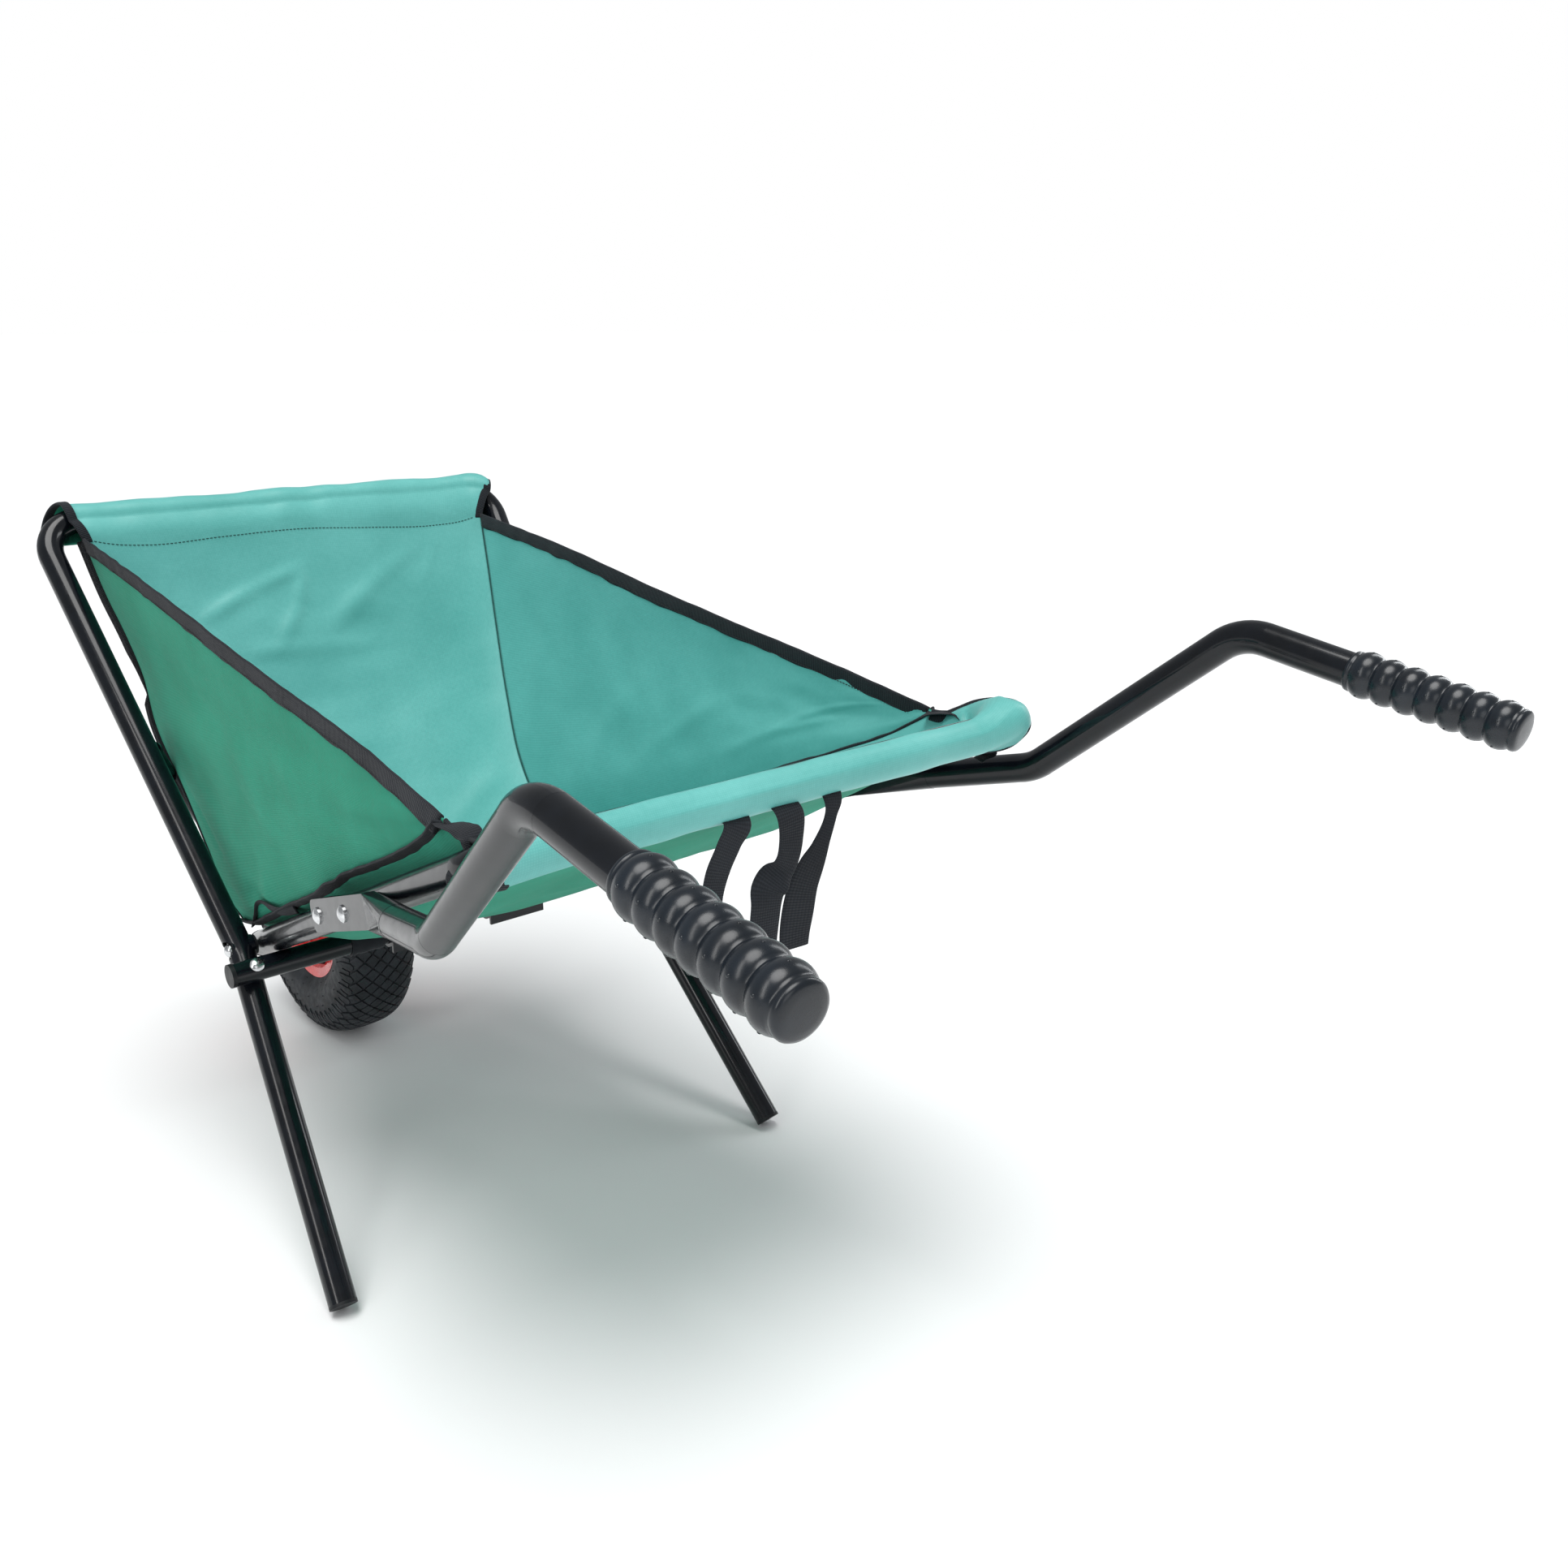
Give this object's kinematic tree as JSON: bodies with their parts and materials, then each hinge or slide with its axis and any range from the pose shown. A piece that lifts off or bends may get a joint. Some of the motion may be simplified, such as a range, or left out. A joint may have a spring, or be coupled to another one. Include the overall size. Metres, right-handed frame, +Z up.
{
  "type": "folding beach cart",
  "caption": "Folding beach cart: fabric tub on a bent tube frame, pneumatic wheel in front on a fork, two legs and a pair of cranked handles with ridged grips.",
  "frame": {"origin": "on the floor under the middle of the overall box", "axes": "+X forward towards the wheel, +Y to the operator's left, +Z up"},
  "size_m": [1.3839, 0.6492, 0.6479],
  "materials": {
    "frame_paint": "gloss black powder coat",
    "plastic": "satin black moulded",
    "zinc": "bright zinc plated",
    "bush": "natural nylon",
    "fabric_inner": "coated woven, satin turquoise",
    "fabric_outer": "plain weave, matt green",
    "webbing": "ribbed polypropylene webbing",
    "rim_paint": "gloss red powder coat",
    "tyre": "moulded block tread",
    "tube_rubber": "smooth",
    "grip": "satin ribbed"
  },
  "bodies": {
    "frame": {"main_frame": "frame_paint", "foot_plug_left": "plastic", "foot_plug_right": "plastic", "cross_tube": "frame_paint", "cross_plug_left": "plastic", "cross_plug_right": "plastic", "cross_bolt_left": "zinc", "cross_bolt_right": "zinc", "pivot_bolt_left": "zinc", "pivot_bolt_right": "zinc", "pivot_spacer_left": "plastic", "pivot_spacer_right": "plastic", "wheel_fork_left": "frame_paint", "wheel_fork_right": "frame_paint", "fork_bolt_left": "zinc", "fork_bolt_right": "zinc", "stay_left": "frame_paint", "stay_right": "frame_paint", "stay_bolt_left": "zinc", "stay_bolt_right": "zinc", "axle_rod": "zinc", "axle_nut_left": "zinc", "axle_nut_right": "zinc", "axle_spacer_left": "zinc", "axle_spacer_right": "zinc", "front_panel": "fabric_inner", "side_panel_left": "fabric_outer", "side_panel_right": "fabric_outer", "cross_strap": "webbing"},
    "wheel": {"rim_left": "rim_paint", "rim_right": "rim_paint", "rim_bolts": "zinc", "hub_bush_left": "bush", "hub_bush_right": "bush", "tyre": "tyre", "inner_tube": "tube_rubber", "valve_stem": "tube_rubber"},
    "handle_frame": {"rail_frame": "frame_paint", "rail_plug_left": "plastic", "rail_plug_right": "plastic", "handle_left": "frame_paint", "handle_right": "frame_paint", "grip_left": "grip", "grip_right": "grip", "handle_bolt_left": "zinc", "handle_bolt_right": "zinc", "floor_panel": "fabric_outer", "strap_inner": "webbing", "strap_middle": "webbing", "strap_outer": "webbing"}
  },
  "joints": [
    {"name": "wheel_spin", "type": "hinge", "parent": "frame", "child": "wheel", "pos_m": [0.537, 0, 0.155], "axis": [0, 1, 0], "continuous": true},
    {"name": "fold", "type": "hinge", "parent": "frame", "child": "handle_frame", "pos_m": [0.231, 0, 0.262], "axis": [0, 1, 0], "range_deg": [0, 98], "deforming": ["side_panel_left", "side_panel_right"]}
  ]
}
